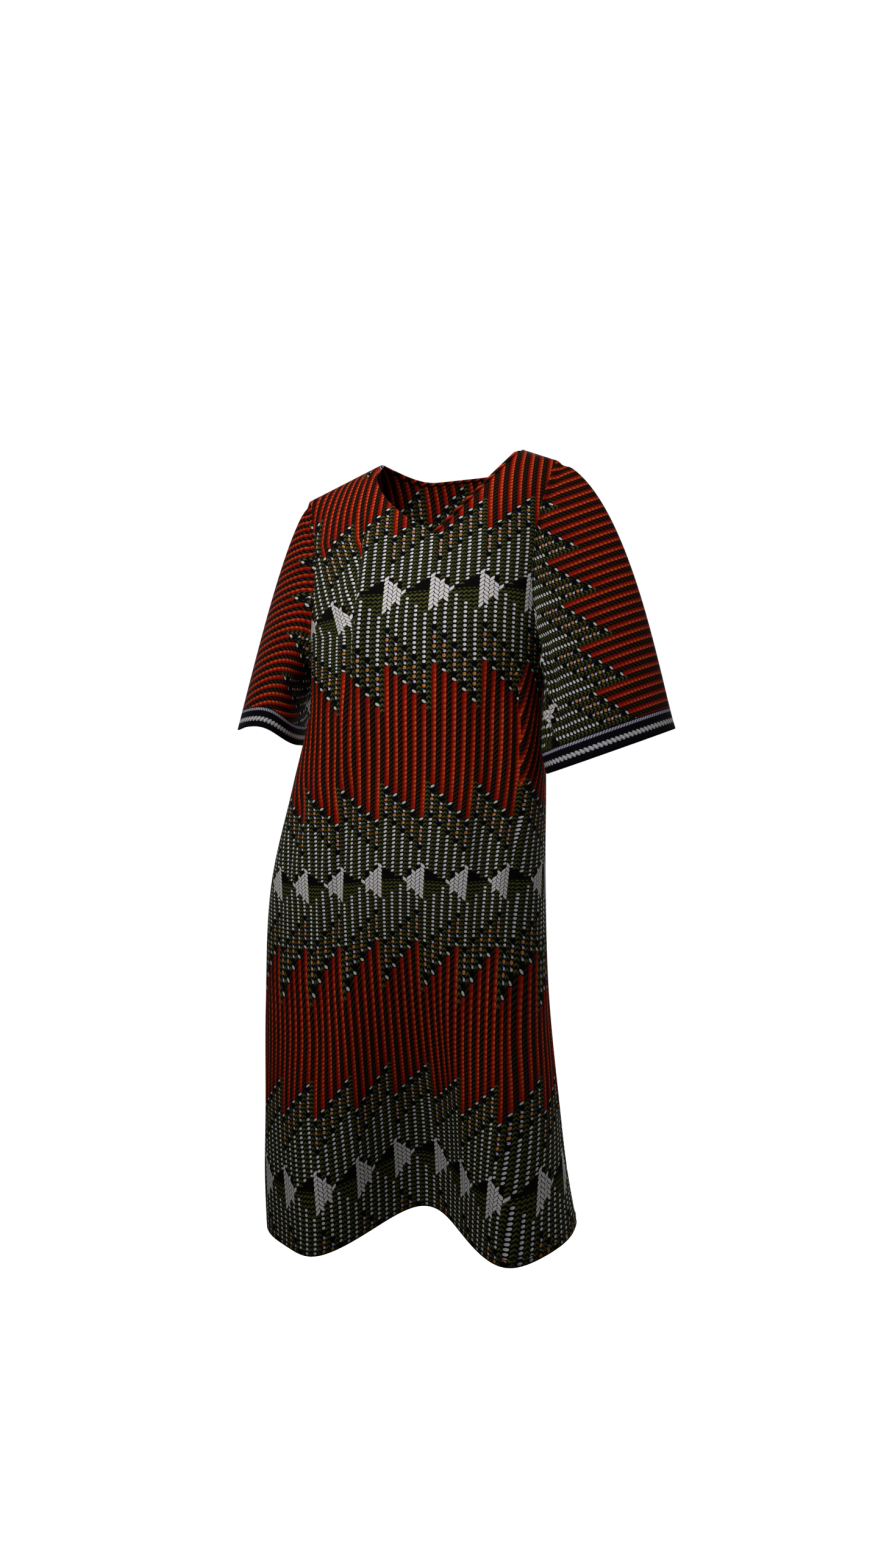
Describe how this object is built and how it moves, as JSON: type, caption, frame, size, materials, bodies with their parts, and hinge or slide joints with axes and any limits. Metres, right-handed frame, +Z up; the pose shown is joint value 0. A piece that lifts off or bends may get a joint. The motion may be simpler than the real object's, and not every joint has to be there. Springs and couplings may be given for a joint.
{
  "type": "ankara sundress",
  "caption": "Pull-on printed cotton dress with a V neck, wide elbow-length sleeves and a straight skirt to mid calf, open at neck, hem and cuffs.",
  "frame": {"origin": "midway between the two points where the shoulder seams meet the neckline, where the wearer's shoulders carry the dress", "axes": "+Z up, -Y towards the front of the dress, +X towards the wearer's left"},
  "size_m": [0.6295, 0.2804, 1.0935],
  "materials": {
    "front_cloth": "printed cotton, matte",
    "back_cloth": "printed cotton, matte",
    "sleeve_left_cloth": "printed cotton, matte",
    "sleeve_right_cloth": "printed cotton, matte"
  },
  "bodies": {
    "root": {"front": "front_cloth", "back": "back_cloth", "sleeve_left": "sleeve_left_cloth", "sleeve_right": "sleeve_right_cloth"}
  },
  "joints": []
}
